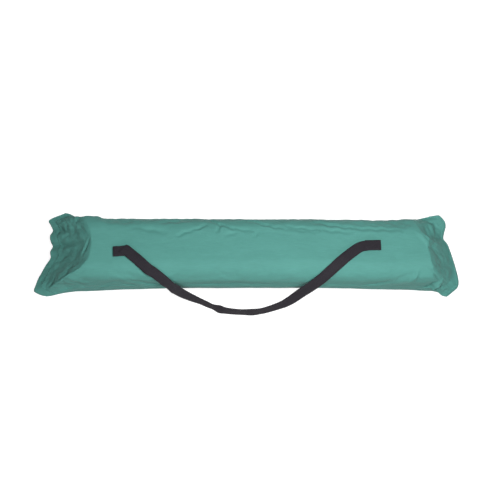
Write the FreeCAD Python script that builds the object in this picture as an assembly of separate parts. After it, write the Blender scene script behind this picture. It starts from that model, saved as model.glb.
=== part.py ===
"""Folding cot packed in its carry bag.

A steel cot frame, folded in half along its length with its legs shut, lies in a fabric carry bag beside its rolled
bed cloth and its two end bars. Units are millimetres. +X runs along the bag towards its sewn end, -X towards its
mouth, -Y is the side with the carry handle, and +Z is up. The origin is on the floor under the middle of the bag.

The frame has two side rails, each cut in half and hinged. The half that stays low is the foot half, and the half
folded over it is the head half. Each half carries a pair of crossed legs on its outer face. Leg a hangs from the
left rail and leg b from the right, each in a swivel clevis that can turn about the rail pin and lets the leg turn
about its own bolt. A straight centre leg hangs under each foot rail beside the middle hinge.
"""

import os

import FreeCAD
import Part
from math import asin, cos, degrees, radians, sin

V = FreeCAD.Vector
X, Y, Z = V(1, 0, 0), V(0, 1, 0), V(0, 0, 1)

# ---- tubes and fasteners ----
rail_r, rail_wall = 11.0, 1.2
rail_length = 922.0
leg_r, leg_wall = 9.0, 1.2
post_r, post_wall = 8.0, 1.2
pin_r = 3.0
pin_head_r, pin_head_t = 5.5, 1.8
running = 0.05  # radial clearance of a pin in its hole
open_pivot = 0.4  # radial clearance at the pivot where the linkage is opened
side_gap = 0.5  # between faces that slide past each other
pin_slack = 0.1  # between a pin's head and what it holds
solid_end = 2.4  # length of a leg's closed end, in radii of the leg

# ---- middle hinge ----
rail_end_gap = 1.0  # from the hinge axis to each rail end
sleeve_wall, sleeve_length = 2.4, 42.0
sleeve_fit = 0.1
knuckle_r = 7.0
tongue_t, ear_t = 8.0, 3.0

# ---- crossed legs ----
end_overhang = 223.0  # from a rail's free end to its clevis pin
leg_end_margin = 4.0  # from the hinge axis to the tip of a folded leg
foot_beyond = 25.0  # how much longer the leg is below the crossing than above it
spread_angle = 57.0  # of a leg from upright, when the cot stands
leg_clearance = 1.6  # between the leg's rounded end and the head of the rail pin
shut_half_gap = 16.0  # half the distance between the two legs' bolts when shut
leg_washer_t = 1.5
cheek_t, clevis_half = 3.0, 9.0
web_t = 4.0
foot_cap_wall, foot_cap_length, foot_cap_end = 2.5, 30.0, 5.0
foot_cap_fillet = 2.0

# ---- centre legs ----
post_pin_inset = 60.0  # from the hinge axis to the centre leg's pin
post_bracket_length = 24.0
post_ear_t = 3.0
post_head_t = 1.0
post_spare = 1.1  # between the shut centre leg and the sleeves, beyond the sliding gap
post_cap_wall, post_cap_length, post_cap_end = 2.5, 24.0, 4.0

# ---- rail ends and end bars ----
plug_flange_t, plug_depth = 3.0, 20.0
stud_r, stud_length = 4.0, 10.0
bar_r, bar_length, bar_wall = 9.5, 600.0, 1.2
bar_cap_t, bar_cap_depth = 4.0, 12.0
bar_gap = 1.0

# ---- rolled bed cloth ----
roll_r = 29.0
roll_end_margin = 14.0
tie_t, tie_width = 1.6, 25.0
tie_place = 0.27  # of the roll's length, from its middle
roll_gap = 2.5
roll_lift = 4.5  # of the roll above the floor
tie_gap = 0.2

# ---- bag ----
fabric_t = 1.5
side_slack, base_gap, head_room = 5.25, 9.5, 12.0
top_corner_r, bottom_corner_r = 50.0, 30.0
mouth_allowance, sewn_allowance = 150.0, 113.0  # of bag beyond the rails at each end
mouth_taper, sewn_taper = 108.0, 92.0
mouth_hem = 40.0
hem_t, sewn_t = 7.0, 5.0
mouth_half, sewn_half = 120.0, 120.0
mouth_shift, sewn_shift = 9.0, 3.0  # of each flat end towards the back
end_tilt = 9.0
end_height = 28.0
bundle_shift = 18.0  # of the frame towards the sewn end, from the middle of the bag
closure_t, closure_width, closure_inset, closure_margin = 1.7, 25.0, 5.0, 12.0
binding_t, binding_depth, binding_margin = 1.2, 14.0, 6.0
binding_gap = 0.2
back_seam_t, back_seam_width, back_seam_margin = 1.0, 12.0, 5.0

# ---- carry handle ----
webbing_width, webbing_t = 30.0, 1.8
webbing_gap = 0.3
# low end, length, and distance of the middle behind the bag's front face
tab_places = {"left": (-368.0, 46.0, 72.4), "right": (326.0, 40.0, 89.4)}
stitch_t, stitch_row, stitch_inset = 0.4, 0.8, 5.0
patch_t, patch_margin, patch_gap = 1.0, 8.0, 0.2
handle_lie = 2.6  # clearance of the handle over the bag's shoulder
handle_join = 0.8
# where the handle runs over the bag: along it, and behind its front face
over_bag = {
    "left": [(-313.0, 67.4), (-300.0, 52.4), (-288.0, 37.4), (-270.0, 22.4), (-250.0, 11.4)],
    "right": [(308.0, 83.4), (281.0, 64.4), (257.0, 44.4), (240.0, 30.4), (225.0, 18.4)],
}
# where it comes down beside the bag: along it, out from its front face, below its top, and how far it faces up
down_side = {
    "left": [(-214.0, 12.0, 45.3, 34.0), (-187.0, 17.0, 80.3, 30.0)],
    "right": [(200.0, 1.5, 27.3, 28.0), (173.0, 13.0, 54.3, 34.0), (146.0, 19.5, 85.3, 38.0)],
}
# where it lies on the floor: along the bag, out from its front face, up from the floor, and how far it faces up
on_floor = [
    (-160.0, 23.0, 27.0, 20.0),
    (-132.0, 32.0, 16.5, 15.0),
    (-77.0, 53.5, 15.8, 14.0),
    (-21.0, 60.5, 15.8, 14.0),
    (34.0, 57.5, 15.8, 14.0),
    (90.0, 40.5, 16.5, 20.0),
    (118.0, 29.0, 25.0, 30.0),
]

# ---- places worked out from the sizes above ----
sleeve_r = rail_r + sleeve_wall
foot_cap_r = leg_r + foot_cap_wall
post_cap_r = post_r + post_cap_wall
# from the rail's axis inwards to the leg's bolt
bolt_inset = rail_r + side_gap + web_t + pin_slack + pin_head_t + leg_clearance + leg_r
hinge_rise = sleeve_r + knuckle_r + side_gap  # from a rail's axis to the hinge axis
layer = 2 * leg_r + leg_washer_t  # between the two legs of a pair
clevis_reach = leg_r + side_gap + cheek_t  # from a leg's axis to the outside of its clevis
post_drop = sleeve_r + post_r + side_gap + post_spare  # from the rail's axis to the centre leg's axis
rails_apart = 2 * (bolt_inset + shut_half_gap)
leg_reach = rail_length - end_overhang - leg_end_margin
cross_at = (leg_reach - foot_beyond) / 2
shut_angle = degrees(asin(shut_half_gap / cross_at))

contents_half = (2 * roll_r + roll_gap + rails_apart + 2 * sleeve_r) / 2
roll_y = roll_r - contents_half
left_y = -contents_half + 2 * roll_r + roll_gap + sleeve_r
right_y = left_y + rails_apart

foot_z = base_gap + max(layer + clevis_reach, post_drop + post_cap_r)
hinge_z = foot_z + hinge_rise
head_z = hinge_z + hinge_rise
frame_top = head_z + layer + clevis_reach

bundle_length = rail_end_gap + rail_length + plug_flange_t + stud_length
hinge_x = -bundle_length / 2 + bundle_shift
rail_start = hinge_x + rail_end_gap
rail_end = rail_start + rail_length
clevis_x = rail_end - end_overhang
post_x = hinge_x + post_pin_inset

bag_half = contents_half + side_slack + fabric_t
bag_top = frame_top + head_room + fabric_t
mouth_x = rail_start - mouth_allowance
sewn_x = rail_end + sewn_allowance

feet_below_rail = leg_reach * cos(radians(spread_angle)) + foot_cap_r * sin(radians(spread_angle))
post_reach = feet_below_rail - post_drop

SIDES = {"left": (left_y, 1), "right": (right_y, -1)}  # rail axis, and the way inwards
HALVES = {"foot": (foot_z, -1), "head": (head_z, 1)}  # rail axis, and the way to the legs


def save(node, *solids):
    shape = solids[0] if len(solids) == 1 else Part.makeCompound(list(solids))
    shape.exportStep(f"parts/{node}.step")


def rod(start, way, length, r):
    return Part.makeCylinder(r, length, start, way)


def tube(start, way, length, r, wall):
    return rod(start, way, length, r).cut(rod(start, way, length, r - wall))


def block(low, high):
    size = high - low
    return Part.makeBox(size.x, size.y, size.z, low)


def span(low_high, *others):
    """A box between two values on each axis, given in any order."""
    pairs = [low_high, *others]
    low = V(*(min(p) for p in pairs))
    high = V(*(max(p) for p in pairs))
    return block(low, high)


def headed_pin(start, way, length, r=pin_r):
    """A pin with a flat head outside each end."""
    end = start + way * length
    return rod(start, way, length, r).fuse(
        [rod(start, way * -1, pin_head_t, pin_head_r), rod(end, way, pin_head_t, pin_head_r)]
    )


# ---------------------------------------------------------------- side rails


def make_rail(half, side):
    z, _ = HALVES[half]
    y, _ = SIDES[side]
    body = tube(V(rail_start, y, z), X, rail_length, rail_r, rail_wall)
    holes = [rod(V(clevis_x, y - 2 * rail_r, z), Y, 4 * rail_r, pin_r + running)]
    save(f"{half}_rail_{side}", body.cut(holes))


def make_rail_plug(half, side):
    """A moulded plug in the rail's free end, with the stud that an end bar drops on."""
    z, _ = HALVES[half]
    y, _ = SIDES[side]
    end = V(rail_end, y, z)
    inside = rod(end - X * plug_depth, X, plug_depth, rail_r - rail_wall - sleeve_fit)
    flange = rod(end, X, plug_flange_t, rail_r)
    stud = rod(end + X * plug_flange_t, X, stud_length, stud_r)
    save(f"{half}_rail_plug_{side}", inside.fuse([flange, stud]))


def knuckle(y, half_t, z, rise):
    """A plate from the hinge pin down or up to the sleeve, rounded about the pin."""
    thickness = 2 * half_t
    eye = rod(V(hinge_x, y - half_t, hinge_z), Y, thickness, knuckle_r)
    foot_end = rail_start + sleeve_length * 0.6
    foot = span((rail_start, foot_end), (y - half_t, y + half_t), (z, z + rise * 0.72))
    up = 1 if rise > 0 else -1
    outline = [
        V(hinge_x, y - half_t, hinge_z - knuckle_r * up),
        V(hinge_x + knuckle_r * 0.7, y - half_t, hinge_z + knuckle_r * 0.7 * up),
        V(foot_end, y - half_t, z + rise * 0.72),
        V(rail_start, y - half_t, z + rise * 0.6),
    ]
    web = Part.Face(Part.makePolygon([*outline, outline[0]])).extrude(Y * thickness)
    return eye.fuse([foot, web])


def make_hinge(side):
    """The middle hinge of one side rail: a forked sleeve, a tongued sleeve and the pin through both."""
    y, _ = SIDES[side]
    pin_hole = rod(V(hinge_x, y - 2 * rail_r, hinge_z), Y, 4 * rail_r, pin_r + running)
    ear_y = tongue_t / 2 + side_gap + ear_t / 2
    for half, name in (("foot", "hinge_fork"), ("head", "hinge_tongue")):
        z, _ = HALVES[half]
        rise = hinge_z - z
        sleeve = rod(V(rail_start, y, z), X, sleeve_length, sleeve_r)
        if half == "foot":
            plates = [knuckle(y - ear_y, ear_t / 2, z, rise), knuckle(y + ear_y, ear_t / 2, z, rise)]
        else:
            plates = [knuckle(y, tongue_t / 2, z, rise)]
        bore = rod(V(rail_start - 1, y, z), X, sleeve_length + 2, rail_r + sleeve_fit)
        save(f"{name}_{side}", sleeve.fuse(plates).cut([bore, pin_hole]))
    outside = ear_y + ear_t / 2 + pin_slack
    save(f"hinge_pin_{side}", headed_pin(V(hinge_x, y - outside, hinge_z), Y, 2 * outside))


# ---------------------------------------------------------------- crossed legs


def leg_z(half, leg):
    z, out = HALVES[half]
    return z + out * (layer if leg == "b" else 0.0)


def make_clevis(half, side):
    """The swivel clevis on the inside of a rail, with the rail pin and the leg's bolt."""
    z, out = HALVES[half]
    y, inward = SIDES[side]
    axis_z = leg_z(half, "a" if side == "left" else "b")
    web_near = y + inward * (rail_r + side_gap)
    web_far = web_near + inward * web_t
    tip = y + inward * (bolt_inset + clevis_half)
    low, high = axis_z - clevis_reach, axis_z + clevis_reach
    far_z = z - out * clevis_half
    wide = (clevis_x - clevis_half, clevis_x + clevis_half)
    web = span(wide, (web_near, web_far), (min(low, high, far_z), max(low, high, far_z)))
    cheek_heights = [(high - cheek_t, high), (low, low + cheek_t)]
    cheeks = [span(wide, (web_near, tip), height) for height in cheek_heights]
    pin_hole = rod(V(clevis_x, y - 4 * rail_r, z), Y, 8 * rail_r, pin_r + running)
    bolt_at = V(clevis_x, y + inward * bolt_inset, low)
    bolt_hole = rod(bolt_at - Z * 2, Z, 2 * clevis_reach + 4, pin_r + running)
    save(f"{half}_clevis_{side}", web.fuse(cheeks).cut([pin_hole, bolt_hole]))
    save(f"{half}_clevis_bolt_{side}", headed_pin(bolt_at - Z * pin_slack, Z, 2 * (clevis_reach + pin_slack)))
    outer = y - inward * (rail_r + pin_slack)
    length = abs(web_far - outer) + pin_slack
    pin = rod(V(clevis_x, outer, z), Y * inward, length, pin_r)
    outer_head = rod(V(clevis_x, outer, z), Y * -inward, pin_head_t, pin_head_r)
    inner_head = rod(V(clevis_x, outer, z) + Y * inward * length, Y * inward, pin_head_t, pin_head_r - 1)
    save(f"{half}_clevis_pin_{side}", pin.fuse([outer_head, inner_head]))


def leg_line(half, leg):
    """Where a shut leg starts, at its bolt, and the way it runs towards the middle hinge."""
    side = "left" if leg == "a" else "right"
    y, inward = SIDES[side]
    start = V(clevis_x, y + inward * bolt_inset, leg_z(half, leg))
    angle = radians(shut_angle)
    return start, V(-cos(angle), inward * sin(angle), 0)


def make_leg(half, leg):
    start, way = leg_line(half, leg)
    length = leg_reach - foot_cap_end
    eye = rod(start - Z * leg_r, Z, 2 * leg_r, leg_r)
    outside = rod(start, way, length, leg_r).fuse(eye)
    inside = rod(start + way * (solid_end * leg_r), way, length, leg_r - leg_wall)
    bolt_fit = open_pivot if (half, leg) == ("head", "b") else running
    holes = [
        rod(start - Z * 2 * leg_r, Z, 4 * leg_r, pin_r + bolt_fit),
        rod(start + way * cross_at - Z * 2 * leg_r, Z, 4 * leg_r, pin_r + running),
    ]
    save(f"{half}_leg_{leg}", outside.cut([inside, *holes]))
    tip = start + way * leg_reach
    cap = rod(tip, way * -1, foot_cap_length, foot_cap_r).cut(
        rod(tip - way * foot_cap_end, way * -1, foot_cap_length, leg_r + sleeve_fit)
    )
    save(f"{half}_foot_cap_{leg}", cap.makeFillet(foot_cap_fillet, cap.Edges[:1]))


def make_cross_bolt(half):
    """The bolt where the two legs of a pair cross, and the washer that keeps them apart."""
    _, out = HALVES[half]
    start, way = leg_line(half, "a")
    at = start + way * cross_at
    near = leg_z(half, "a") - out * (leg_r + pin_slack)
    far = leg_z(half, "b") + out * (leg_r + pin_slack)
    bolt = headed_pin(V(at.x, at.y, min(near, far)), Z, abs(far - near))
    save(f"{half}_cross_bolt", bolt)
    middle = (leg_z(half, "a") + leg_z(half, "b")) / 2
    thickness = leg_washer_t - 4 * pin_slack
    washer = rod(V(at.x, at.y, middle - thickness / 2), Z, thickness, leg_r - 1)
    hole = rod(V(at.x, at.y, middle - thickness), Z, 2 * thickness, pin_r + running)
    save(f"{half}_cross_washer", washer.cut(hole))


# ---------------------------------------------------------------- centre legs


def make_centre_leg(side):
    """A straight leg under the foot rail, beside the middle hinge, with its bracket, pin and rubber foot."""
    y, _ = SIDES[side]
    z = foot_z - post_drop
    ear_near = post_r + side_gap
    ear_far = ear_near + post_ear_t
    half_length = post_bracket_length / 2
    sleeve = rod(V(post_x - half_length, y, foot_z), X, post_bracket_length, sleeve_r)
    pin_hole = rod(V(post_x, y - 4 * post_r, z), Y, 8 * post_r, pin_r + running)
    bore = rod(V(post_x - half_length - 1, y, foot_z), X, post_bracket_length + 2, rail_r + sleeve_fit)
    ears = []
    for near, far in ((ear_near, ear_far), (-ear_far, -ear_near)):
        ears.append(span((post_x - post_r, post_x + post_r), (y + near, y + far), (z, foot_z)))
        ears.append(rod(V(post_x, y + min(near, far), z), Y, post_ear_t, post_r))
    save(f"centre_leg_bracket_{side}", sleeve.fuse(ears).cut([bore, pin_hole]))
    outside = ear_far + pin_slack
    pin = rod(V(post_x, y - outside, z), Y, 2 * outside, pin_r)
    heads = [
        rod(V(post_x, y - outside - post_head_t, z), Y, post_head_t, pin_head_r),
        rod(V(post_x, y + outside, z), Y, post_head_t, pin_head_r),
    ]
    save(f"centre_leg_pin_{side}", pin.fuse(heads))
    start = V(post_x, y, z)
    length = post_reach - post_cap_end
    eye = rod(V(post_x, y - post_r, z), Y, 2 * post_r, post_r)
    inside = rod(start + X * (solid_end * post_r), X, length, post_r - post_wall)
    hole = rod(V(post_x, y - 2 * post_r, z), Y, 4 * post_r, pin_r + running)
    save(f"centre_leg_{side}", rod(start, X, length, post_r).fuse(eye).cut([inside, hole]))
    tip = start + X * post_reach
    cap = rod(tip, X * -1, post_cap_length, post_cap_r).cut(
        rod(tip - X * post_cap_end, X * -1, post_cap_length, post_r + sleeve_fit)
    )
    save(f"centre_foot_cap_{side}", cap)


# ---------------------------------------------------------------- bed cloth and end bars


def make_bed_roll():
    z = roll_r + roll_lift
    start = V(rail_start + roll_end_margin, roll_y, z)
    length = rail_length - 2 * roll_end_margin
    save("bed_cloth", rod(start, X, length, roll_r))
    middle = start.x + length / 2
    ties = []
    for way in (-1, 1):
        at = V(middle + way * tie_place * length - tie_width / 2, roll_y, z)
        band = tube(at, X, tie_width, roll_r + tie_gap + tie_t, tie_t)
        ties.append(band)
    save("cloth_ties", *ties)
    bars, caps = [], []
    for way in (-1, 1):
        low = V(middle - bar_length / 2, roll_y + way * (bar_r + bar_gap), z + roll_r + tie_t + bar_r + bar_gap)
        bars.append(tube(low, X, bar_length, bar_r, bar_wall))
        for end, outward in ((low, X * -1), (low + X * bar_length, X)):
            plug = rod(end, outward * -1, bar_cap_depth, bar_r - bar_wall - sleeve_fit)
            caps.append(rod(end, outward, bar_cap_t, bar_r).fuse(plug))
    save("end_bars", *bars)
    save("end_bar_caps", *caps)


# ---------------------------------------------------------------- bag


def section(x, half_w, height, r_top, r_bottom, centre_y, centre_z, tilt, inset=0.0):
    """A closed outline across the bag: a rounded rectangle, leaning by tilt degrees."""
    w, h = half_w - inset, height / 2 - inset
    rt = min(r_top - inset, h * 0.98, w * 0.98)
    rb = min(r_bottom - inset, h * 0.98, w * 0.98)
    rt, rb = max(rt, 0.3), max(rb, 0.3)
    if rt + rb > 1.96 * h:
        rt = rb = 0.98 * h
    c, s = cos(radians(tilt)), sin(radians(tilt))

    def at(y, z):
        return V(x, centre_y + y * c - z * s, centre_z + y * s + z * c)

    d = sin(radians(45))
    # each corner: its radius, its way out, and where its arc starts and ends
    corners = [
        (rb, (-1, -1), (-w, -h + rb), (-w + rb, -h)),
        (rb, (1, -1), (w - rb, -h), (w, -h + rb)),
        (rt, (1, 1), (w, h - rt), (w - rt, h)),
        (rt, (-1, 1), (-w + rt, h), (-w, h - rt)),
    ]
    edges = []
    for k, (r, (out_y, out_z), start, end) in enumerate(corners):
        mid = (out_y * (w - r + r * d), out_z * (h - r + r * d))
        edges.append(Part.Arc(at(*start), at(*mid), at(*end)).toShape())
        following = corners[(k + 1) % 4][2]
        edges.append(Part.makeLine(at(*end), at(*following)))
    return Part.Wire(edges)


def bag_sections(inset, mouth_end, sewn_end):
    """Outlines from the mouth to the sewn end. The middle is full, and each end closes flat and leaning."""
    full = dict(half_w=bag_half, height=bag_top, cy=0.0, cz=bag_top / 2, tilt=0.0)
    mouth = dict(half_w=mouth_half, height=hem_t, cy=mouth_shift, cz=end_height, tilt=end_tilt)
    sewn = dict(half_w=sewn_half, height=sewn_t, cy=sewn_shift, cz=end_height, tilt=end_tilt)

    def between(x, end, t):
        ease = t * t * (3 - 2 * t)
        now = {k: end[k] + (full[k] - end[k]) * ease for k in full}
        return section(
            x, now["half_w"], now["height"], top_corner_r, bottom_corner_r, now["cy"], now["cz"], now["tilt"], inset
        )

    hem_x = mouth_x + mouth_hem
    flat_x = sewn_x - binding_depth
    steps = (0.0, 0.25, 0.5, 0.75, 1.0)
    made = [between(mouth_end, mouth, 0.0)]
    made += [between(hem_x + t * mouth_taper, mouth, t) for t in steps]
    made += [between(flat_x - t * sewn_taper, sewn, t) for t in reversed(steps)]
    if sewn_end > flat_x:
        made.append(between(sewn_end, sewn, 0.0))
    return made


def make_bag_shell():
    outside = Part.makeLoft(bag_sections(0.0, mouth_x, sewn_x), True, True)
    inside = Part.makeLoft(bag_sections(fabric_t, mouth_x - 5.0, sewn_x - binding_depth), True, True)
    save("bag_shell", outside.cut(inside))


def leaning(shape, shift):
    """A shape drawn flat about the origin, leant and moved to where the bag's ends close."""
    placed = shape.copy()
    placed.rotate(V(0, 0, 0), X, end_tilt)
    placed.translate(V(0, shift, end_height))
    return placed


def make_mouth_closure():
    """Hook tape and loop tape, face to face between the two layers of the mouth's hem."""
    low_x = mouth_x + closure_inset
    half = mouth_half - closure_margin
    for name, low, high in (("hook_tape", -closure_t, -0.1), ("loop_tape", 0.1, closure_t)):
        tape = span((low_x, low_x + closure_width), (-half, half), (low, high))
        save(f"mouth_{name}", leaning(tape, mouth_shift))


def make_sewn_end_binding():
    """Folded tape over the raw edge of the sewn end."""
    low_x, high_x = sewn_x - binding_depth + 5 * binding_gap, sewn_x + binding_gap + binding_t
    gap = sewn_t / 2 + binding_gap
    half = sewn_half - binding_margin
    tape = span((low_x, high_x), (-half, half), (-gap - binding_t, gap + binding_t))
    slot = span((low_x - 1, sewn_x + binding_gap), (-half - 1, half + 1), (-gap, gap))
    save("sewn_end_binding", leaning(tape.cut(slot), sewn_shift))


def make_back_seam():
    """The flat seam that closes the bag's cloth into a tube, along its back."""
    middle_z = bag_top * 0.5
    x_low = mouth_x + mouth_hem + mouth_taper + back_seam_margin
    x_high = sewn_x - binding_depth - sewn_taper - back_seam_margin
    near = bag_half + 0.1
    height = (middle_z - back_seam_width / 2, middle_z + back_seam_width / 2)
    save("back_seam", span((x_low, x_high), (near, near + back_seam_t), height))


# ---------------------------------------------------------------- carry handle


def over_top(y, clearance):
    """Height and facing of the bag's top and front shoulder, a clearance above it."""
    inset = bag_half - top_corner_r
    beyond = -y - inset
    r = top_corner_r + clearance
    if beyond <= 0:
        return bag_top + clearance, V(0, 0, 1)
    rise = (r * r - beyond * beyond) ** 0.5
    return bag_top - top_corner_r + rise, V(0, -beyond / r, rise / r)


def tab_stitching(x, length, y):
    """Four rows of stitching round a sewn-down end."""
    low = bag_top + webbing_gap + webbing_t + 0.05
    half = webbing_width / 2 - stitch_inset
    height = (low, low + stitch_t)
    ends = (x + stitch_inset, x + length - stitch_inset)
    rows = [span(ends, (y + way * half, y + way * (half - stitch_row)), height) for way in (-1, 1)]
    inner = half - stitch_row - 0.1
    rows += [span((at, at + way * stitch_row), (y - inner, y + inner), height) for at, way in zip(ends, (1, -1))]
    return rows


def make_handle_tabs():
    """The sewn-down ends of the webbing, with their stitching and their backing patches."""
    low = bag_top + webbing_gap
    under = bag_top - fabric_t - patch_gap
    stitching, patches = [], []
    for side, (x, length, behind) in tab_places.items():
        y = behind - bag_half
        half = webbing_width / 2
        save(f"handle_end_{side}", span((x, x + length), (y - half, y + half), (low, low + webbing_t)))
        stitching += tab_stitching(x, length, y)
        reach = half + patch_margin
        ends = (x - patch_margin, x + length + patch_margin)
        patches.append(span(ends, (y - reach, y + reach), (under - patch_t, under)))
    save("handle_stitching", *stitching)
    save("handle_patches", *patches)


def facing_up(angle):
    return V(0, -cos(radians(angle)), sin(radians(angle)))


def side_route(side):
    """The handle from one sewn end over the shoulder and down the bag's side."""
    lift = webbing_gap + webbing_t / 2
    x, length, behind = tab_places[side]
    end = x + length + handle_join if side == "left" else x - handle_join
    route = [(V(end, behind - bag_half, bag_top + lift), Z)]
    for px, inside in over_bag[side]:
        z, facing = over_top(inside - bag_half, lift + handle_lie)
        route.append((V(px, inside - bag_half, z), facing))
    for px, out, below, up in down_side[side]:
        route.append((V(px, -bag_half - out, bag_top - below), facing_up(up)))
    return route


def handle_route():
    """Centre points of the handle and its outward direction at each, from the left end to the right."""
    floor = [(V(px, -bag_half - out, z), facing_up(up)) for px, out, z, up in on_floor]
    return side_route("left") + floor + side_route("right")[::-1]


def make_handle():
    """The free webbing between its two sewn ends: over the front shoulder, down the side and out on the floor."""
    route = handle_route()
    outlines = []
    for k, (point, facing) in enumerate(route):
        before, after = route[max(k - 1, 0)][0], route[min(k + 1, len(route) - 1)][0]
        along = X if k in (0, len(route) - 1) else (after - before).normalize()
        across = facing.cross(along).normalize()
        up = along.cross(across).normalize()
        a, b = across * (webbing_width / 2), up * (webbing_t / 2)
        corners = [point + a + b, point - a + b, point - a - b, point + a - b]
        outlines.append(Part.makePolygon([*corners, corners[0]]))
    save("carry_handle", Part.makeLoft(outlines, True, True))


def main():
    os.makedirs("parts", exist_ok=True)
    for half in HALVES:
        for side in SIDES:
            make_rail(half, side)
            make_rail_plug(half, side)
            make_clevis(half, side)
        for leg in "ab":
            make_leg(half, leg)
        make_cross_bolt(half)
    for side in SIDES:
        make_hinge(side)
        make_centre_leg(side)
    make_bed_roll()
    make_bag_shell()
    make_mouth_closure()
    make_sewn_end_binding()
    make_back_seam()
    make_handle_tabs()
    make_handle()


main()
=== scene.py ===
"""The looks of a folding cot packed in its carry bag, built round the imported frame. Units are metres."""

from math import cos, pi, radians, sin

import bmesh
import bpy
import numpy as np
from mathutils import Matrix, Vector, noise
from mathutils.bvhtree import BVHTree


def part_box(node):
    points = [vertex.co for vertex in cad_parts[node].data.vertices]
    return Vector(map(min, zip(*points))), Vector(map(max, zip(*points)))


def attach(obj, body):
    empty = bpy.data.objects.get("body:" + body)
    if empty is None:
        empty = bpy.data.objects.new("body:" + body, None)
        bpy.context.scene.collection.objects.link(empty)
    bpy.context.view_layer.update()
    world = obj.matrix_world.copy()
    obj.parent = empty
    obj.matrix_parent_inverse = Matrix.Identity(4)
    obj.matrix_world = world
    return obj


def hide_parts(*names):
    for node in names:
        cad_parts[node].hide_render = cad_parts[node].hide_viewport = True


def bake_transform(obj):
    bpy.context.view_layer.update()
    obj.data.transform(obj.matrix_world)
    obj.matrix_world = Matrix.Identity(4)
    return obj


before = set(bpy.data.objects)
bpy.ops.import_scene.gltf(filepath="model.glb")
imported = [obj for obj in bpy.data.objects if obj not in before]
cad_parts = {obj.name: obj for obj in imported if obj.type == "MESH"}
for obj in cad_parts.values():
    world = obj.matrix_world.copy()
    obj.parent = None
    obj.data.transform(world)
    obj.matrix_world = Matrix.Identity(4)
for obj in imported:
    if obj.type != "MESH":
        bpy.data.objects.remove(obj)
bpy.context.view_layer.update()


# ---------------------------------------------------------------- camera, light and floor

LOOK_AT = Vector((0.0067, 0.010, 0.06))
ELEVATION = radians(68)
DISTANCE = 4.2
FIELD_WIDTH = 1.395  # what the camera sees across, at the bag
WORLD_LIGHT = 0.20
FLOOR_GREY = 0.30
FLOOR_GLOW = 0.92
FLOOR_HALF = 26.0
BACKDROP_R = 24.0
BACKDROP_TOP = 20.0
BACKDROP_SIDES = 48


def make_camera():
    data = bpy.data.cameras.new("camera")
    camera = bpy.data.objects.new("camera", data)
    bpy.context.scene.collection.objects.link(camera)
    camera.location = LOOK_AT + Vector((0, -cos(ELEVATION), sin(ELEVATION))) * DISTANCE
    camera.rotation_euler = (radians(90) - ELEVATION, 0, 0)
    data.lens = data.sensor_width * DISTANCE / FIELD_WIDTH
    bpy.context.scene.camera = camera


def make_light(name, place, size, power):
    """A soft rectangular lamp that faces the bag. Sizes are metres and power is watts."""
    data = bpy.data.lights.new(name, "AREA")
    data.shape = "RECTANGLE"
    data.size, data.size_y = size
    data.energy = power
    light = bpy.data.objects.new(name, data)
    bpy.context.scene.collection.objects.link(light)
    light.location = place
    light.rotation_euler = (LOOK_AT - Vector(place)).to_track_quat("-Z", "Y").to_euler()


def make_lights():
    make_light("top_light", (0.30, -0.42, 1.75), (0.6, 0.5), 32.5)
    make_light("back_light", (0.3, 2.4, 0.40), (2.4, 0.4), 5)
    make_light("front_light", (0.3, -2.6, 1.1), (1.8, 0.8), 28)
    world = bpy.data.worlds.new("studio")
    bpy.context.scene.world = world
    world.use_nodes = True
    background = world.node_tree.nodes["Background"]
    background.inputs["Color"].default_value = (1, 1, 1, 1)
    background.inputs["Strength"].default_value = WORLD_LIGHT
    bpy.context.scene.view_settings.view_transform = "Standard"


def make_floor():
    """A lit table, as used for a pure white ground, and a backdrop of the same white far away."""
    material = bpy.data.materials.new("floor_white")
    material.use_nodes = True
    shader = material.node_tree.nodes["Principled BSDF"]
    shader.inputs["Base Color"].default_value = (FLOOR_GREY, FLOOR_GREY, FLOOR_GREY, 1)
    shader.inputs["Roughness"].default_value = 0.9
    shader.inputs["Emission Color"].default_value = (1, 1, 1, 1)
    shader.inputs["Emission Strength"].default_value = FLOOR_GLOW
    half = FLOOR_HALF
    flat = [(-half, -half, 0), (half, -half, 0), (half, half, 0), (-half, half, 0)]
    sides = BACKDROP_SIDES
    turns = [2 * pi * k / sides for k in range(sides)]
    wall = [(BACKDROP_R * cos(a), BACKDROP_R * sin(a), z) for z in (0, BACKDROP_TOP) for a in turns]
    panels = [(k, (k + 1) % sides, sides + (k + 1) % sides, sides + k) for k in range(sides)]
    for name, points, faces in (("floor", flat, [(0, 1, 2, 3)]), ("backdrop", wall, panels)):
        mesh = bpy.data.meshes.new(name)
        mesh.from_pydata(points, [], faces)
        mesh.materials.append(material)
        piece = bpy.data.objects.new(name, mesh)
        bpy.context.scene.collection.objects.link(piece)
        piece.visible_diffuse = False  # the lamps alone light the cloth
        piece.visible_glossy = name == "floor"


# ---------------------------------------------------------------- material building blocks


SOCKETS = {
    "metallic": "Metallic",
    "sheen_weight": "Sheen Weight",
    "sheen_roughness": "Sheen Roughness",
    "specular": "Specular IOR Level",
}


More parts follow.
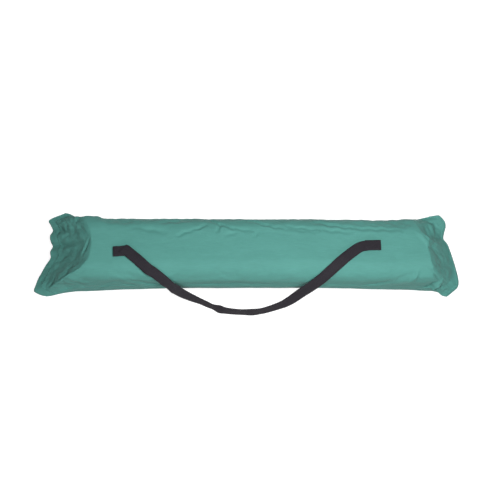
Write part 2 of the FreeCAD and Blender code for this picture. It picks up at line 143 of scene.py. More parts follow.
class Nodes:
    """A short way to write a material's node graph."""

    def __init__(self, name):
        self.material = bpy.data.materials.new(name)
        self.material.use_nodes = True
        self.tree = self.material.node_tree
        self.shader = self.tree.nodes["Principled BSDF"]

    def add(self, kind, inputs=None, **settings):
        node = self.tree.nodes.new(kind)
        for key, value in settings.items():
            setattr(node, key, value)
        for key, value in (inputs or {}).items():
            if isinstance(value, bpy.types.NodeSocket):
                self.tree.links.new(value, node.inputs[key])
            else:
                node.inputs[key].default_value = value
        return node

    def link(self, value, socket):
        """Feeds a value to one of the shader's sockets."""
        self.tree.links.new(value, self.shader.inputs[socket])

    def place(self, scale=(1, 1, 1)):
        """Object coordinates, stretched."""
        coordinate = self.add("ShaderNodeTexCoord").outputs["Object"]
        return self.add("ShaderNodeMapping", {"Vector": coordinate, "Scale": scale}).outputs["Vector"]

    def noise(self, vector, scale, detail, roughness):
        inputs = {"Vector": vector, "Scale": scale, "Detail": detail, "Roughness": roughness}
        return self.add("ShaderNodeTexNoise", inputs).outputs["Fac"]

    def math(self, operation, a, b=0.0):
        return self.add("ShaderNodeMath", {0: a, 1: b}, operation=operation).outputs[0]

    def blend(self, *parts):
        """The sum of values, each times its own share."""
        total = None
        for value, share in parts:
            part = self.math("MULTIPLY", value, share)
            total = part if total is None else self.math("ADD", total, part)
        return total

    def set(self, **values):
        """Sets plain numbers on the shader's own sockets."""
        for key, value in values.items():
            self.shader.inputs[SOCKETS[key]].default_value = value

    def ramp(self, value, stops):
        stops = list(stops)
        node = self.add("ShaderNodeValToRGB", {"Fac": value})
        points = node.color_ramp.elements
        while len(points) < len(stops):
            points.new(1.0)
        for point, (position, colour) in zip(points, stops):
            point.position = position
            point.color = (*colour, 1)
        return node.outputs["Color"]

    def bump(self, height, strength, distance):
        node = self.add("ShaderNodeBump", {"Height": height, "Strength": strength, "Distance": distance})
        self.tree.links.new(node.outputs["Normal"], self.shader.inputs["Normal"])


# ---------------------------------------------------------------- materials

GREEN = (0.079, 0.262, 0.229)


def shades(colour, darker, lighter, lift=0.0):
    """A colour with a darker and a lighter version of it."""
    dark = tuple(c * darker for c in colour)
    light = tuple(min(1.0, c * lighter + lift) for c in colour)
    return dark, colour, light


def bag_cloth(name, colour=GREEN, weave=0.0011, crinkle=1.0):
    """Coated woven cloth: a fine square weave, faint streaks along the yarn, small crinkles, soft sheen."""
    n = Nodes(name)
    at = n.place()
    streaks = n.noise(n.place((1.6, 22.0, 22.0)), 26.0, 3.0, 0.6)
    patches = n.noise(at, 7.0, 3.0, 0.55)
    tone = n.blend((streaks, 0.55), (patches, 0.45))
    n.link(n.ramp(tone, zip((0.30, 0.52, 0.75), shades(colour, 0.91, 1.08, 0.004))), "Base Color")
    split = n.add("ShaderNodeSeparateXYZ", {"Vector": at})
    turns = 2 * pi / weave
    yarn = [n.math("SINE", n.math("MULTIPLY", split.outputs[k], turns)) for k in (0, 1, 2)]
    weft = n.math("MULTIPLY", yarn[0], n.math("ADD", yarn[1], yarn[2]))
    small = n.noise(at, 210.0, 3.0, 0.6)
    wrinkle = n.noise(n.place((1.0, 1.7, 1.7)), 24.0, 4.0, 0.55)
    n.bump(n.blend((weft, 0.05), (small, 0.12), (wrinkle, 1.6 * crinkle)), 0.55, 0.0022)
    n.link(n.math("ADD", 0.54, n.math("MULTIPLY", streaks, 0.22)), "Roughness")
    n.set(sheen_weight=0.04, sheen_roughness=0.4, specular=0.16)
    return n.material


def webbing_cloth(name, colour=(0.0150, 0.0125, 0.0175)):
    """Ribbed webbing. The UVs run across and along it in metres."""
    rib, pick = 0.0030, 0.0016
    n = Nodes(name)
    uv = n.add("ShaderNodeUVMap").outputs["UV"]
    split = n.add("ShaderNodeSeparateXYZ", {"Vector": uv})
    ribs = n.math("SINE", n.math("MULTIPLY", split.outputs[0], 2 * pi / rib))
    picks = n.math("SINE", n.math("MULTIPLY", split.outputs[1], 2 * pi / pick))
    fuzz = n.noise(n.place(), 420.0, 3.0, 0.65)
    tone = n.math("ADD", n.math("MULTIPLY", ribs, 0.18), fuzz)
    n.link(n.ramp(tone, zip((0.25, 0.5, 0.8), shades(colour, 0.6, 1.6, 0.002))), "Base Color")
    n.bump(n.blend((ribs, 0.5), (n.math("MULTIPLY", picks, ribs), 0.25), (fuzz, 0.35)), 0.5, 0.0006)
    n.link(n.math("ADD", 0.62, n.math("MULTIPLY", fuzz, 0.25)), "Roughness")
    n.set(sheen_weight=0.03, sheen_roughness=0.5, specular=0.22)
    return n.material


def plain(name, colour, roughness, grain=300.0, wear=0.12, bump=0.15):
    """A painted, spun or moulded surface with fine grain and faint wear."""
    n = Nodes(name)
    at = n.place()
    fine = n.noise(at, grain, 2.0, 0.6)
    broad = n.noise(at, 18.0, 4.0, 0.6)
    tone = n.blend((fine, 0.35), (broad, 0.65))
    n.link(n.ramp(tone, zip((0.3, 0.5, 0.72), shades(colour, 1 - wear, 1 + 1.6 * wear, 0.004))), "Base Color")
    n.link(n.math("ADD", roughness - 0.08, n.math("MULTIPLY", broad, 0.2)), "Roughness")
    n.bump(fine, bump, 0.0003)
    return n.material


def brushed(name, colour, roughness=0.34):
    """Zinc-plated steel with fine marks and a little cloudiness."""
    n = Nodes(name)
    marks = n.noise(n.place((1.0, 26.0, 26.0)), 60.0, 3.0, 0.6)
    cloud = n.noise(n.place(), 55.0, 4.0, 0.6)
    tone = n.blend((marks, 0.5), (cloud, 0.5))
    n.link(n.ramp(tone, zip((0.32, 0.5, 0.7), shades(colour, 0.72, 1.25))), "Base Color")
    n.link(n.math("ADD", roughness - 0.1, n.math("MULTIPLY", cloud, 0.3)), "Roughness")
    n.bump(marks, 0.12, 0.0002)
    n.set(metallic=1.0)
    return n.material


# ---------------------------------------------------------------- bag: sections and ends

HALF = 0.0944  # half of the full bag's width
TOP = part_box("bag_shell")[1].z
TOP_SLACK = 0.002  # left under the shell's top for the wrinkles
FOLD_Z = 0.058  # height of the front and back folds
LEFT_END, RIGHT_END = -0.428, 0.474  # where the full part ends
STATIONS_BODY, STATIONS_LEFT, STATIONS_RIGHT = 340, 60, 44  # rings of points along each part
AROUND = 240  # points round the bag: the first half run over the top and the rest back underneath
HALF_ROUND = AROUND // 2
END_HALF_THICK = 0.0018  # half of a flat end's thickness
FABRIC = 0.001
HEM, SEAM = 0.028, 0.006  # rows of stitches, from the edges of the two flat ends
BUNDLE_END = -0.4535
# the radius of the back shoulder along the bag
BACK_ROUND = ([-0.40, -0.05, 0.11, 0.30, 0.42], [0.052, 0.0555, 0.0530, 0.0640, 0.0690])

# the bag's flat ends, from the front corner to the back corner
MOUTH_EDGE = [
    (-0.562, -0.107, 0.004),
    (-0.578, -0.1035, 0.005),
    (-0.594, -0.096, 0.006),
    (-0.598, -0.090, 0.007),
    (-0.5935, -0.077, 0.010),
    (-0.586, -0.057, 0.014),
    (-0.577, -0.038, 0.013),
    (-0.568, -0.022, 0.018),
    (-0.559, -0.011, 0.024),
    (-0.553, 0.000, 0.028),
    (-0.555, 0.016, 0.030),
    (-0.549, 0.034, 0.025),
    (-0.555, 0.048, 0.031),
    (-0.557, 0.062, 0.036),
    (-0.550, 0.080, 0.031),
    (-0.557, 0.096, 0.037),
    (-0.562, 0.106, 0.041),
    (-0.548, 0.112, 0.049),
    (-0.528, 0.116, 0.058),
    (-0.510, 0.120, 0.065),
]
SEWN_EDGE = [
    (0.556, -0.108, 0.004),
    (0.572, -0.096, 0.009),
    (0.586, -0.083, 0.015),
    (0.588, -0.064, 0.022),
    (0.580, -0.030, 0.031),
    (0.569, 0.006, 0.040),
    (0.559, 0.034, 0.045),
    (0.549, 0.050, 0.044),
    (0.551, 0.066, 0.050),
    (0.555, 0.082, 0.058),
    (0.551, 0.096, 0.066),
    (0.536, 0.110, 0.074),
]
# how far past its end station the full part reaches, by the share of the way over the top from the front fold
LEFT_REACH = (
    [0, 0.10, 0.20, 0.28, 0.36, 0.52, 0.64, 0.76, 0.90, 1.0],
    [0.050, 0.072, 0.060, 0.026, 0.008, 0.0, 0.006, 0.020, 0.030, 0.034],
)
RIGHT_REACH = (
    [0, 0.12, 0.24, 0.36, 0.50, 0.58, 0.66, 0.80, 1.0],
    [0.030, 0.034, 0.036, 0.028, 0.020, 0.028, 0.004, -0.012, -0.030],
)
# how lines on the full part are shared out along a flat end's edge
SHARE = (
    [0, 0.10, 0.20, 0.28, 0.36, 0.50, 0.64, 0.76, 0.88, 1.0],
    [0, 0.025, 0.065, 0.13, 0.24, 0.46, 0.66, 0.82, 0.93, 1.0],
)


def run_along(points):
    """The length of a line of points, up to each of them."""
    return np.concatenate([[0], np.cumsum(np.linalg.norm(np.diff(points, axis=0), axis=1))])


def points_at(at, run, points):
    """Points on a line, at given lengths along it."""
    return np.stack([np.interp(at, run, points[:, k]) for k in range(points.shape[1])], axis=1)


def smooth_line(points, samples):
    """Points evenly placed on a smooth curve through the given ones (Catmull-Rom)."""
    p = np.array(points, float)
    p = np.vstack([2 * p[0] - p[1], p, 2 * p[-1] - p[-2]])
    t = np.linspace(0, 1, 40, endpoint=False)[:, None]
    dense = []
    for a, b, c, d in zip(p, p[1:], p[2:], p[3:]):
        square = 2 * a - 5 * b + 4 * c - d
        cube = 3 * b - a - 3 * c + d
        dense.append(0.5 * (2 * b + (c - a) * t + square * t**2 + cube * t**3))
    dense = np.vstack([*dense, p[-2][None]])
    run = run_along(dense)
    return points_at(np.asarray(samples) * run[-1], run, dense)


def rounded_section(front_r, back_r, bottom_front_r, bottom_back_r, top):
    """Outline across the bag from the front fold over the top to the back fold, and back underneath."""
    over = [(-HALF + front_r, top - front_r, front_r, 180, 90), (HALF - back_r, top - back_r, back_r, 90, 0)]
    under = [
        (HALF - bottom_back_r, bottom_back_r, bottom_back_r, 0, -90),
        (-HALF + bottom_front_r, bottom_front_r, bottom_front_r, -90, -180),
    ]
    halves = []
    for corners, side in ((over, -1), (under, 1)):
        line = [(side * HALF, FOLD_Z)]
        for cy, cz, r, a, b in corners:
            for angle in np.radians(np.linspace(a, b, 24)):
                line.append((cy + r * cos(angle), cz + r * sin(angle)))
        line.append((-side * HALF, FOLD_Z))
        line = np.array(line)
        run = run_along(line)
        halves.append(points_at(np.linspace(0, run[-1], HALF_ROUND, endpoint=False), run, line))
    return np.vstack(halves)


def ease(t):
    """From 0 to 1 with a soft start and end."""
    t = np.clip(t, 0, 1)
    return t * t * (3 - 2 * t)


def body_sections(xs):
    """The full part of the bag: its front edges are rounder in the middle than towards the ends."""
    middle_x, middle_half, change = 0.02, 0.16, 0.26
    rings = []
    for x in xs:
        end = float(ease((abs(x - middle_x) - middle_half) / change))
        section = rounded_section(
            front_r=0.052 - 0.006 * end,
            back_r=float(np.interp(x, *BACK_ROUND)),
            bottom_front_r=0.043 - 0.016 * end,
            bottom_back_r=0.030,
            top=TOP - TOP_SLACK,
        )
        rings.append(np.column_stack([np.full(len(section), x), section]))
    return np.array(rings)


def full_reach(reach):
    """How far the full part reaches on each line round the bag."""
    share = np.arange(HALF_ROUND) / HALF_ROUND
    over = np.interp(share, *reach)
    under = np.interp(1 - share, [0, 0.15, 0.5, 0.85, 1.0], [reach[1][0], 0.03, 0.02, 0.03, reach[1][-1]])
    return np.concatenate([over, under])


def end_rings(body_ring, edge, outward, count, steep, lift):
    """Rings from the full section to a flat end, each line a cubic curve. outward is -1 or 1 along x."""
    u = np.arange(HALF_ROUND) / HALF_ROUND
    over = smooth_line(edge, np.interp(u, *SHARE))
    under = smooth_line(edge, np.interp(1 - u, *SHARE))
    seam = np.vstack([over + (0, 0, END_HALF_THICK), under - (0, 0, END_HALF_THICK)])
    seam[0], seam[HALF_ROUND] = np.array(edge[0]), np.array(edge[-1])
    # how much each line belongs to the top, to the underside and to the folds
    turn = 2 * pi * np.arange(AROUND) / AROUND
    top_side = np.sin(turn).clip(0, 1) ** 0.6
    low_side = (-np.sin(turn)).clip(0, 1) ** 0.6
    side = np.abs(np.cos(turn)) ** 4
    p0, p3 = body_ring, seam
    run = np.linalg.norm(p3 - p0, axis=1)
    # the curve leaves the full part outwards and a little down, and meets the seam from inside and above
    forward = outward * run * (0.16 * top_side + 0.34 * side + 0.30 * low_side)
    drop = -run * steep * top_side
    p1 = p0 + np.column_stack([forward, np.zeros(AROUND), drop])
    back_out = -outward * run * (0.36 * side + 0.30 * low_side) * (1 - top_side)
    p2 = p3 + np.column_stack([back_out, 0.10 * (p0 - p3)[:, 1], np.zeros(AROUND)])
    p2 += (p0 - p3) * 0.34 * top_side[:, None] + np.outer(lift * top_side, (0, 0, 1))
    w = np.linspace(0, 1, count + 1)[1:, None, None]
    return (1 - w) ** 3 * p0 + 3 * (1 - w) ** 2 * w * p1 + 3 * (1 - w) * w**2 * p2 + w**3 * p3


def bag_grid():
    """The whole bag as rings of points, before its wrinkles."""
    xs = np.linspace(LEFT_END, RIGHT_END, STATIONS_BODY)
    body = body_sections(xs)
    near = 0.09  # the length over which the full part takes up the shape of its end
    near_left = ease((LEFT_END + near - xs) / near)[:, None]
    near_right = ease((xs - RIGHT_END + near) / near)[:, None]
    body[:, :, 0] += near_right * full_reach(RIGHT_REACH)[None] - near_left * full_reach(LEFT_REACH)[None]
    # the front folds drop and the back folds rise to the corners of the flat ends
    facing_front = np.cos(2 * pi * np.arange(AROUND) / AROUND)[None]
    fold = np.abs(facing_front) ** 6
    front = facing_front > 0
    body[:, :, 2] += near_left * fold * np.where(front, -0.022, 0.030 * near_left)
    body[:, :, 2] += near_right**3 * fold * np.where(front, -0.020, 0.012)
    left = end_rings(body[0], MOUTH_EDGE, -1, STATIONS_LEFT, 0.10, -0.010)
    right = end_rings(body[-1], SEWN_EDGE, 1, STATIONS_RIGHT, 0.20, -0.006)
    return over_bundle(np.concatenate([left[::-1], body, right]))


def over_bundle(rings):
    """The upper layer lies over the ends of the rails, which stand near the mouth."""
    bundle_front, bundle_back, bundle_top = -0.045, 0.103, 0.1085
    slope, softness = 1.15, 0.004
    near_x = -0.40
    x, y, z = rings[:, :, 0], rings[:, :, 1], rings[:, :, 2]
    upper = (np.arange(AROUND) < HALF_ROUND)[None]
    beside = ease((y - bundle_front) / 0.020) * ease((bundle_back - y) / 0.012)
    rest = bundle_top - slope * np.clip(BUNDLE_END - x, 0, None)
    soft = z + softness * np.log1p(np.exp(np.clip((rest - z) / softness, -30, 30)))
    near = ease((near_x - x) / 0.02)
    rings[:, :, 2] += (soft - z) * upper * beside * near
    return rings


def grid_mesh(name, rings, closed=True):
    """A mesh of quads over rings of points."""
    rows, columns = rings.shape[:2]
    points = rings.reshape(-1, 3)
    faces = []
    for i in range(rows - 1):
        for j in range(columns if closed else columns - 1):
            k = (j + 1) % columns
            faces.append((i * columns + j, (i + 1) * columns + j, (i + 1) * columns + k, i * columns + k))
    mesh = bpy.data.meshes.new(name)
    mesh.from_pydata(points.tolist(), [], faces)
    mesh.update()
    return mesh


def add_object(name, mesh, material):
    piece = bpy.data.objects.new(name, mesh)
    bpy.context.scene.collection.objects.link(piece)
    mesh.materials.append(material)
    mesh.polygons.foreach_set("use_smooth", [True] * len(mesh.polygons))
    return piece


# ---------------------------------------------------------------- bag: wrinkles

# creases on the upper layer. Each has two ends, along the bag and across it, then its half-width and height.
# Across is measured in a plane that leans back by 22 degrees, which faces both the top and the front.
ACROSS_Y, ACROSS_Z = 0.927, 0.375
CREASES = [
    # the back shoulder
    (-0.323, 0.066, -0.227, 0.050, 0.0072, 0.0043),
    (-0.241, 0.077, -0.158, 0.084, 0.0048, 0.0047),
    (-0.195, 0.040, -0.150, 0.056, 0.0048, 0.0035),
    (-0.150, 0.056, -0.112, 0.069, 0.0041, 0.0047),
    (-0.112, 0.084, -0.072, 0.070, 0.0038, 0.0058),
    (-0.076, 0.071, -0.039, 0.060, 0.0038, 0.0055),
    (-0.076, 0.071, -0.085, 0.047, 0.0041, 0.0047),
    (-0.040, 0.060, 0.015, 0.053, 0.0054, 0.0039),
    (0.007, 0.081, 0.060, 0.068, 0.0036, 0.0058),
    (0.055, 0.069, 0.097, 0.060, 0.0038, 0.0051),
    (0.097, 0.060, 0.190, 0.050, 0.0048, 0.0035),
    (0.108, 0.066, 0.200, 0.056, 0.0041, 0.0047),
    (0.200, 0.056, 0.290, 0.049, 0.0054, 0.0035),
    (0.180, 0.077, 0.290, 0.060, 0.0043, 0.0058),
    (0.290, 0.060, 0.427, 0.055, 0.0054, 0.0051),
    (0.290, 0.072, 0.437, 0.065, 0.0054, 0.0047),
    (0.330, 0.080, 0.450, 0.073, 0.0060, 0.0043),
    (-0.400, 0.082, -0.300, 0.078, 0.0060, 0.0035),
    (-0.060, 0.040, -0.030, 0.050, 0.0060, 0.0027),
    (0.020, 0.036, 0.026, 0.052, 0.0054, 0.0027),
    # the front
    (-0.323, -0.085, -0.232, -0.102, 0.0050, 0.0031),
    (-0.340, -0.098, -0.261, -0.106, 0.0044, 0.0031),
    (-0.380, -0.068, -0.296, -0.091, 0.0077, -0.0022),
    (-0.440, -0.086, -0.350, -0.094, 0.0066, 0.0022),
    (0.320, -0.100, 0.352, -0.096, 0.0050, 0.0028),
    (0.352, -0.096, 0.394, -0.085, 0.0050, 0.0034),
    (0.400, -0.090, 0.436, -0.070, 0.0066, 0.0022),
    (0.449, -0.088, 0.467, -0.060, 0.0060, -0.0070),
    # the corner at the sewn end
    (0.488, -0.107, 0.530, -0.087, 0.0040, 0.0065),
    (0.502, -0.112, 0.532, -0.100, 0.0040, -0.0117),
    (0.509, -0.058, 0.530, -0.085, 0.0050, 0.0044),
    (0.535, -0.098, 0.556, -0.118, 0.0044, 0.0039),
    # the back corner at the sewn end
    (0.470, 0.052, 0.500, 0.012, 0.0055, -0.0047),
    (0.492, 0.066, 0.508, 0.032, 0.0044, 0.0039),
    (0.508, 0.074, 0.520, 0.040, 0.0046, -0.0039),
    (0.524, 0.078, 0.530, 0.050, 0.0040, 0.0034),
    (0.505, 0.008, 0.530, 0.034, 0.0050, 0.0031),
    (0.478, 0.078, 0.500, 0.086, 0.0044, 0.0031),
    # the slope and the corner at the mouth
    (-0.437, 0.028, -0.457, -0.019, 0.0035, 0.0055),
    (-0.446, 0.040, -0.470, 0.070, 0.0055, 0.0029),
    (-0.483, -0.041, -0.500, -0.052, 0.0035, 0.0068),
    (-0.496, -0.055, -0.524, -0.088, 0.0046, 0.0062),
    (-0.514, -0.084, -0.548, -0.104, 0.0044, -0.0052),
    (-0.480, 0.010, -0.530, -0.006, 0.0066, -0.0029),
    (-0.486, 0.046, -0.532, 0.028, 0.0060, 0.0031),
    (-0.500, -0.014, -0.548, -0.040, 0.0055, 0.0029),
    (-0.490, 0.074, -0.540, 0.062, 0.0055, 0.0029),
    (-0.470, 0.090, -0.520, 0.086, 0.0050, -0.0026),
    (-0.470, -0.028, -0.520, -0.060, 0.0077, -0.0026),
]


def segment_distance(x, y, x0, y0, x1, y1):
    """Distance from a segment in plan, and the place along it from 0 to 1."""
    dx, dy = x1 - x0, y1 - y0
    t = np.clip(((x - x0) * dx + (y - y0) * dy) / (dx * dx + dy * dy), 0, 1)
    return np.hypot(x - x0 - t * dx, y - y0 - t * dy), t


def grid_normals(rings):
    """The outward direction at each point of the rings."""
    along = np.gradient(rings, axis=0)
    closed = np.concatenate([rings[:, -1:], rings, rings[:, :1]], axis=1)
    around = (closed[:, 2:] - closed[:, :-2]) / 2
    normal = np.cross(around, along)
    return normal / np.maximum(np.linalg.norm(normal, axis=2, keepdims=True), 1e-9)


def crinkle(points, scale, seed, ridged=True):
    """Smooth noise at each point, from -1 to 1; ridged gives sharp crests."""
    offset = Vector((seed * 3.1, seed * 7.7, seed * 1.3))
    a, b, c = scale
    flat = points.reshape(-1, 3)
    value = np.array([noise.noise(Vector((p[0] * a, p[1] * b, p[2] * c)) + offset) for p in flat])
    if ridged:
        value = 1 - 2 * np.abs(value) ** 0.8
    return value.reshape(points.shape[:2])


def end_distance(rings, rows, outer):
    """Length of cloth from the flat end's edge to each point of the end's rows."""
    part = rings[:rows + 1] if outer < 0 else rings[-rows - 1:][::-1]
    step = np.linalg.norm(np.diff(part, axis=0), axis=2)
    return np.concatenate([np.zeros((1, rings.shape[1])), np.cumsum(step, axis=0)])


def add_creases(rise, rings, upper):
    """A ridge along each crease, with a shallow dip on both sides. The lines waver a little."""
    x = rings[:, :, 0]
    across = (rings[:, :, 1] - 0.010) * ACROSS_Y + (rings[:, :, 2] - 0.060) * ACROSS_Z
    for x0, y0, x1, y1, width, height in CREASES:
        waver = 0.0016 * np.sin(170 * x + 90 * across + 40 * x0)
        d, t = segment_distance(x, across + waver, x0, y0, x1, y1)
        fade = np.sin(pi * (0.12 + 0.76 * t))
        ridge = np.exp(-((d / width) ** 2)) - 0.35 * np.exp(-((d / (2.4 * width)) ** 2))
        rise += upper * height * fade * ridge


def add_crinkles(rise, rings):
    """Noise at three sizes, stronger on the shoulders and the ends, where the cloth is slack."""
    x, y = rings[:, :, 0], rings[:, :, 1]
    ends = np.clip(ease((LEFT_END - x) / 0.05) + ease((x - RIGHT_END) / 0.04), 0, 1)
    shoulder = ease((np.abs(y) / HALF - 0.45) / 0.4)
    rise += (0.0006 + 0.0011 * shoulder + 0.0016 * ends) * crinkle(rings, (9, 22, 18), 1)
    rise += (0.0002 + 0.0007 * shoulder + 0.0014 * ends) * crinkle(rings, (34, 52, 48), 2)
    rise += 0.0016 * crinkle(rings, (4.5, 9, 9), 3, ridged=False)


def calm_ends(rise, rings):
    """Near both flat ends' edges the two layers lie together, and the stitches pull in a groove."""
    calm_reach, groove_depth, groove_half = 0.022, 0.0007, 0.0022
    for rows, outer, stitch_row in ((STATIONS_LEFT, -1, HEM), (STATIONS_RIGHT, 1, SEAM)):
        d = end_distance(rings, rows, outer)
        calm = 1 - 0.85 * np.exp(-((d / calm_reach) ** 2))
        groove = -groove_depth * np.exp(-(((d - stitch_row) / groove_half) ** 2))
        part = slice(0, rows + 1) if outer < 0 else slice(len(rings) - rows - 1, len(rings))
        flip = slice(None) if outer < 0 else slice(None, None, -1)
        rise[part] = rise[part] * calm[flip] + groove[flip]


def wrinkle(rings):
    """The rings with their creases and crinkles, which are weaker underneath, where the bag lies flat."""
    ground_gap = 0.0012
    upper = (np.arange(AROUND) < HALF_ROUND)[None, :] * 1.0
    rise = np.zeros(rings.shape[:2])
    add_creases(rise, rings, upper)
    add_crinkles(rise, rings)
    calm_ends(rise, rings)
    rise *= 1 - 0.75 * (1 - upper)
    rings = rings + grid_normals(rings) * rise[:, :, None]
    rings[:, :, 2] = np.maximum(rings[:, :, 2], ground_gap)
    return rings


def solid_cloth(piece, thickness=FABRIC, offset=-1.0):
    """Gives a sheet its thickness: to its inside, or to both sides at offset 0."""
    modifier = piece.modifiers.new("cloth", "SOLIDIFY")
    modifier.thickness = thickness
    modifier.offset = offset
    modifier.use_even_offset = False
    bpy.context.view_layer.update()
    shown = piece.evaluated_get(bpy.context.evaluated_depsgraph_get())
    mesh = bpy.data.meshes.new_from_object(shown)
    piece.modifiers.clear()
    piece.data = mesh


def finish_piece(piece, body, slot, *nodes):
    """Says which body a piece rides on and the CAD nodes that it stands in for. The slot argument is not
    used.
    """
    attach(piece, body)
    if nodes:
        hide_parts(*nodes)


def make_bag(cloth, rings):
    bag = add_object("bag", grid_mesh("bag", rings), cloth)
    solid_cloth(bag)
    finish_piece(bag, "bag", "bag_fabric", "bag_shell")


# ---------------------------------------------------------------- bag: seams and tapes


def surface_tree(rings):
    """A search tree over the bag's outer surface."""
    mesh = grid_mesh("bag_search", rings)
    mesh_copy = bmesh.new()
    mesh_copy.from_mesh(mesh)
    tree = BVHTree.FromBMesh(mesh_copy)
    mesh_copy.free()
    bpy.data.meshes.remove(mesh)
    return tree


def column_point(rings, j, outer, rows, distance):
    """The point on line j of an end, at a length of cloth from the edge."""
    part = rings[:rows + 1, j] if outer < 0 else rings[-rows - 1:, j][::-1]
    return points_at([distance], run_along(part), part)[0]


def end_line(rings, outer, rows, distance, upper, skip=2):
    """A line across a flat end at a distance from its edge, on the upper or the lower layer."""
    columns = range(skip, HALF_ROUND - skip + 1)
    if not upper:
        columns = [AROUND - k for k in columns]
    return np.array([column_point(rings, j, outer, rows, distance) for j in columns])


def unit(vectors):
    return vectors / np.linalg.norm(vectors, axis=1, keepdims=True)


def dashes(name, lines, material, length=0.0032, gap=0.0016, radius=0.00038):
    """Stitches along lines of points: each a small rounded rod that dips at its ends."""
    sides = 6
    places = np.array([0, 0.2, 0.5, 0.8, 1.0])
    lifts = np.array([-0.6, 0.4, 0.7, 0.4, -0.6])[:, None] * radius
    radii = np.array([0.45, 1.0, 1.0, 1.0, 0.45]) * radius
    last_ring = len(places) - 1
    vertices, faces = [], []
    for points, normals in lines:
        run = run_along(points)
        start = gap
        while start + length < run[-1]:
            at = start + length * places
            centre = points_at(at, run, points)
            up = unit(points_at(at, run, normals))
            across = np.cross(unit(np.gradient(centre, axis=0)), up)
            base = len(vertices)
            for c, u, a, f, r in zip(centre, up, across, lifts, radii):
                for k in range(sides):
                    angle = 2 * pi * k / sides
                    vertices.append(c + u * f + (u * sin(angle) + a * cos(angle)) * r)
            for ring in range(last_ring):
                for k in range(sides):
                    a0 = base + ring * sides + k
                    a1 = base + ring * sides + (k + 1) % sides
                    faces.append((a0, a1, a1 + sides, a0 + sides))
            faces.append(tuple(base + k for k in range(sides))[::-1])
            faces.append(tuple(base + last_ring * sides + k for k in range(sides)))
            start += length + gap
    mesh = bpy.data.meshes.new(name)
    mesh.from_pydata([tuple(p) for p in vertices], [], faces)
    mesh.update()
    return add_object(name, mesh, material)


def on_surface(tree, points, lift):
    """Points moved onto the bag and a little above it, with the bag's outward direction at each."""
    placed, normals = [], []
    for p in points:
        location, normal, _, _ = tree.find_nearest(Vector(p))
        placed.append(np.array(location) + np.array(normal) * lift)
        normals.append(np.array(normal))
    return np.array(placed), np.array(normals)


def make_seam_stitches(rings, tree, thread):
    """One row of stitches on each face of both flat ends."""
    lift = 0.0003
    lines = []
    for upper in (True, False):
        for outer, rows, distance in ((-1, STATIONS_LEFT, HEM), (1, STATIONS_RIGHT, SEAM)):
            points = end_line(rings, outer, rows, distance, upper)
            lines.append(on_surface(tree, points, lift))
    stitches = dashes("seam_stitches", lines, thread)
    finish_piece(stitches, "bag", "stitching")


def make_mouth_tapes(rings, tape):
    """Hook tape under the upper layer of the mouth and loop tape over the lower one."""
    near_edge, far_edge = 0.006, 0.020
    thick, half_gap, skip = 0.0004, 0.00030, 6
    for name, node, way in (("hook_tape", "mouth_hook_tape", 1), ("loop_tape", "mouth_loop_tape", -1)):
        edges = []
        for distance in (near_edge, far_edge):
            top = end_line(rings, -1, STATIONS_LEFT, distance, True, skip)
            low = end_line(rings, -1, STATIONS_LEFT, distance, False, skip)
            edges.append((top + low) / 2 + (0, 0, way * half_gap))
        near, far = edges
        strip = grid_mesh(name, np.stack([near, (near + far) / 2, far], axis=1), closed=False)
        piece = add_object(name, strip, tape)
        solid_cloth(piece, thick, 0.0)
        finish_piece(piece, "bag", "hook_and_loop", node)


def make_end_binding(rings, cloth):
    """Folded tape over the edge of the sewn end."""
    depth, thick, turn_out = 0.008, 0.0007, 0.0012
    distances = (depth, depth / 2, 0.0)
    across = []
    for j in range(3, HALF_ROUND - 2):
        top = [column_point(rings, j, 1, STATIONS_RIGHT, d) for d in distances]
        low = [column_point(rings, AROUND - j, 1, STATIONS_RIGHT, d) for d in distances[::-1]]
        middle = (top[-1] + low[0]) / 2 + (turn_out, 0, 0)
        across.append([p + (0, 0, thick) for p in top] + [middle] + [p - (0, 0, thick) for p in low])
    piece = add_object("end_binding", grid_mesh("end_binding", np.array(across), closed=False), cloth)
    solid_cloth(piece, thick, 0.0)
    finish_piece(piece, "bag", "binding_tape", "sewn_end_binding")


def make_back_seam(rings, tree, cloth, thread):
    """A flat felled seam along the bag's back, with two rows of stitches."""
    half, edge_round, stitch_z = 0.0055, 0.0006, 0.0035
    edge_lift, flat_lift, middle_lift, stitch_lift = 0.0002, 0.0011, 0.0013, 0.0014
    flat = half - edge_round
    low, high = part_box("back_seam")
    line = np.array([r for r in rings[:, HALF_ROUND] if low.x < r[0] < high.x])
    profile = ((-half, edge_lift), (-flat, flat_lift), (0, middle_lift), (flat, flat_lift), (half, edge_lift))
    sections = [on_surface(tree, line + (0, 0, offset), lift)[0] for offset, lift in profile]
    tape = grid_mesh("back_seam_tape", np.stack(sections, axis=1), closed=False)
    piece = add_object("back_seam", tape, cloth)
    finish_piece(piece, "bag", "binding_tape", "back_seam")
    lines = [on_surface(tree, line + (0, 0, z), stitch_lift) for z in (-stitch_z, stitch_z)]
    finish_piece(dashes("back_seam_stitches", lines, thread), "bag", "stitching")


# ---------------------------------------------------------------- handle

WIDTH, THICK = 0.030, 0.0018
FLOOR_GAP = 0.0006
